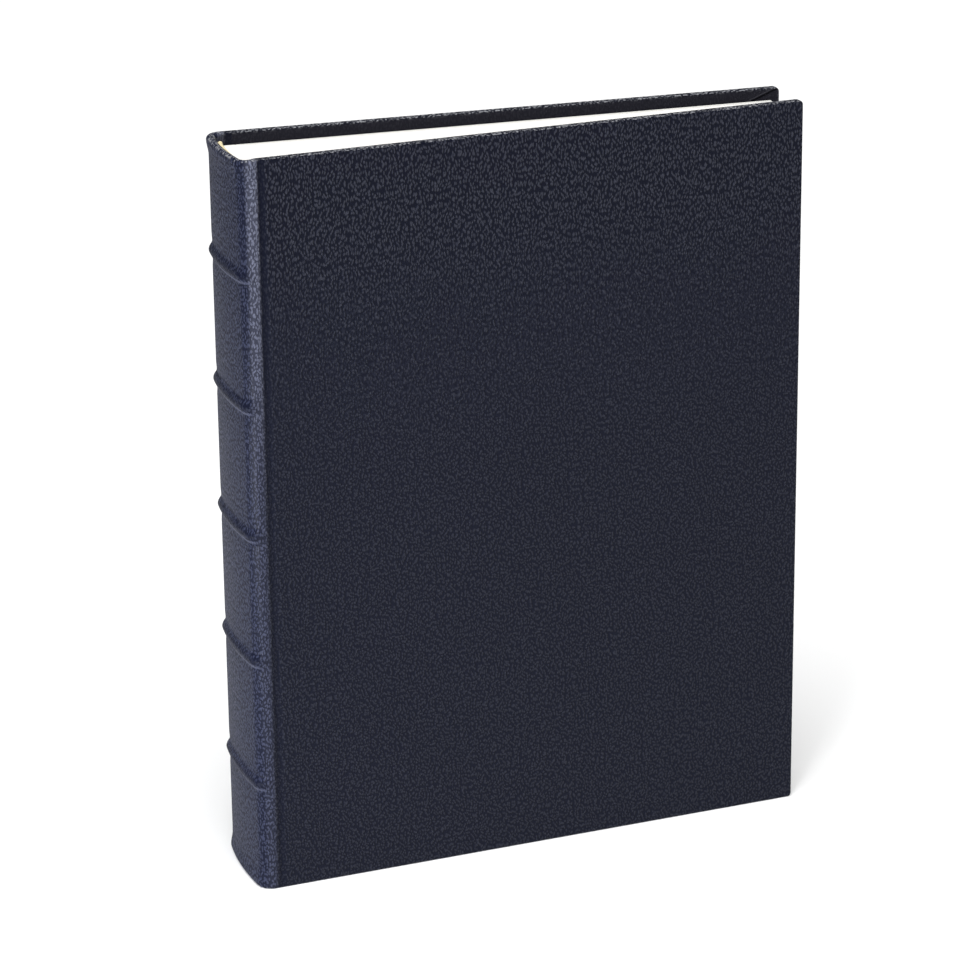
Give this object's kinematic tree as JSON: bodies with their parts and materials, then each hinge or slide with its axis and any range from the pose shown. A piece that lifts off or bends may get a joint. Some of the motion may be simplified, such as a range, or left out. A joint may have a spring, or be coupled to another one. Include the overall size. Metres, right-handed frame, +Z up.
{
  "type": "leather-bound logbook",
  "caption": "Upright leather-bound book with a rounded raised-band spine, hinged covers, sewn page block and turning front and back leaves.",
  "frame": {"origin": "centre of the footprint, on the surface that the book stands on", "axes": "+Z up from tail to head, +X from the spine to the fore-edge, -Y out of the front cover"},
  "size_m": [0.2281, 0.0466, 0.2886],
  "materials": {
    "cover_leather": "satin pebbled grain, navy",
    "board": "grey pressed board",
    "spine_card": "smooth manila card",
    "band_strip": "undyed leatherboard strip",
    "kraft_paper": "smooth kraft and cream lining paper",
    "cloth": "open cotton weave",
    "linen": "linen tape and waxed linen thread",
    "endband_cloth": "cream cotton bead",
    "endpaper": "matt white endpaper",
    "page_paper": "matt white ledger paper"
  },
  "bodies": {
    "text_block": {"spine_leather": "cover_leather", "spine_inlay": "spine_card", "spine_hollow_tube": "kraft_paper", "spine_mull": "cloth", "sewing_thread": "linen", "headband": "endband_cloth", "tailband": "endband_cloth", "band_core_1": "band_strip", "band_core_2": "band_strip", "band_core_3": "band_strip", "band_core_4": "band_strip", "band_core_5": "band_strip", "sewing_tape_1": "linen", "sewing_tape_2": "linen", "sewing_tape_3": "linen", "sewing_tape_4": "linen", "sewing_tape_5": "linen", "signature_01": "page_paper", "signature_02": "page_paper", "signature_03": "page_paper", "signature_04": "page_paper", "signature_05": "page_paper", "signature_06": "page_paper", "signature_07": "page_paper", "signature_08": "page_paper", "signature_09": "page_paper", "signature_10": "page_paper", "front_endpaper_guard": "endpaper", "back_endpaper_guard": "endpaper"},
    "front_cover": {"front_board": "board", "front_cover_leather": "cover_leather", "front_infill": "spine_card", "front_pastedown": "endpaper"},
    "front_flyleaf_sheet": {"front_flyleaf": "endpaper"},
    "front_leaf_1_sheet": {"front_leaf_1": "page_paper"},
    "front_leaf_2_sheet": {"front_leaf_2": "page_paper"},
    "front_leaf_3_sheet": {"front_leaf_3": "page_paper"},
    "front_leaf_4_sheet": {"front_leaf_4": "page_paper"},
    "back_cover": {"back_board": "board", "back_cover_leather": "cover_leather", "back_infill": "spine_card", "back_pastedown": "endpaper"},
    "back_flyleaf_sheet": {"back_flyleaf": "endpaper"},
    "back_leaf_1_sheet": {"back_leaf_1": "page_paper"},
    "back_leaf_2_sheet": {"back_leaf_2": "page_paper"},
    "back_leaf_3_sheet": {"back_leaf_3": "page_paper"},
    "back_leaf_4_sheet": {"back_leaf_4": "page_paper"}
  },
  "joints": [
    {"name": "front_cover_hinge", "type": "hinge", "parent": "text_block", "child": "front_cover", "pos_m": [-0.10593, -0.0233, 0], "axis": [0, 0, -1], "range_deg": [0, 180]},
    {"name": "front_flyleaf_fold", "type": "hinge", "parent": "text_block", "child": "front_flyleaf_sheet", "pos_m": [-0.10113, -0.01865, 0], "axis": [0, 0, -1], "range_deg": [0, 112]},
    {"name": "front_leaf_1_fold", "type": "hinge", "parent": "text_block", "child": "front_leaf_1_sheet", "pos_m": [-0.10016, -0.0181, 0], "axis": [0, 0, -1], "range_deg": [0, 96]},
    {"name": "front_leaf_2_fold", "type": "hinge", "parent": "text_block", "child": "front_leaf_2_sheet", "pos_m": [-0.09918, -0.01756, 0], "axis": [0, 0, -1], "range_deg": [0, 80]},
    {"name": "front_leaf_3_fold", "type": "hinge", "parent": "text_block", "child": "front_leaf_3_sheet", "pos_m": [-0.09821, -0.01701, 0], "axis": [0, 0, -1], "range_deg": [0, 64]},
    {"name": "front_leaf_4_fold", "type": "hinge", "parent": "text_block", "child": "front_leaf_4_sheet", "pos_m": [-0.09723, -0.01647, 0], "axis": [0, 0, -1], "range_deg": [0, 48]},
    {"name": "back_cover_hinge", "type": "hinge", "parent": "text_block", "child": "back_cover", "pos_m": [-0.10593, 0.0233, 0], "axis": [0, 0, 1], "range_deg": [0, 180]},
    {"name": "back_flyleaf_fold", "type": "hinge", "parent": "text_block", "child": "back_flyleaf_sheet", "pos_m": [-0.10113, 0.01865, 0], "axis": [0, 0, 1], "range_deg": [0, 112]},
    {"name": "back_leaf_1_fold", "type": "hinge", "parent": "text_block", "child": "back_leaf_1_sheet", "pos_m": [-0.10016, 0.0181, 0], "axis": [0, 0, 1], "range_deg": [0, 96]},
    {"name": "back_leaf_2_fold", "type": "hinge", "parent": "text_block", "child": "back_leaf_2_sheet", "pos_m": [-0.09918, 0.01756, 0], "axis": [0, 0, 1], "range_deg": [0, 80]},
    {"name": "back_leaf_3_fold", "type": "hinge", "parent": "text_block", "child": "back_leaf_3_sheet", "pos_m": [-0.09821, 0.01701, 0], "axis": [0, 0, 1], "range_deg": [0, 64]},
    {"name": "back_leaf_4_fold", "type": "hinge", "parent": "text_block", "child": "back_leaf_4_sheet", "pos_m": [-0.09723, 0.01647, 0], "axis": [0, 0, 1], "range_deg": [0, 48]}
  ],
  "couplings": [
    {"joint": "front_flyleaf_fold", "follows": "front_cover_hinge", "ratio": 0.62221},
    {"joint": "front_leaf_1_fold", "follows": "front_cover_hinge", "ratio": 0.53332},
    {"joint": "front_leaf_2_fold", "follows": "front_cover_hinge", "ratio": 0.44443},
    {"joint": "front_leaf_3_fold", "follows": "front_cover_hinge", "ratio": 0.35555},
    {"joint": "front_leaf_4_fold", "follows": "front_cover_hinge", "ratio": 0.26666},
    {"joint": "back_flyleaf_fold", "follows": "back_cover_hinge", "ratio": 0.62221},
    {"joint": "back_leaf_1_fold", "follows": "back_cover_hinge", "ratio": 0.53332},
    {"joint": "back_leaf_2_fold", "follows": "back_cover_hinge", "ratio": 0.44443},
    {"joint": "back_leaf_3_fold", "follows": "back_cover_hinge", "ratio": 0.35555},
    {"joint": "back_leaf_4_fold", "follows": "back_cover_hinge", "ratio": 0.26666}
  ]
}
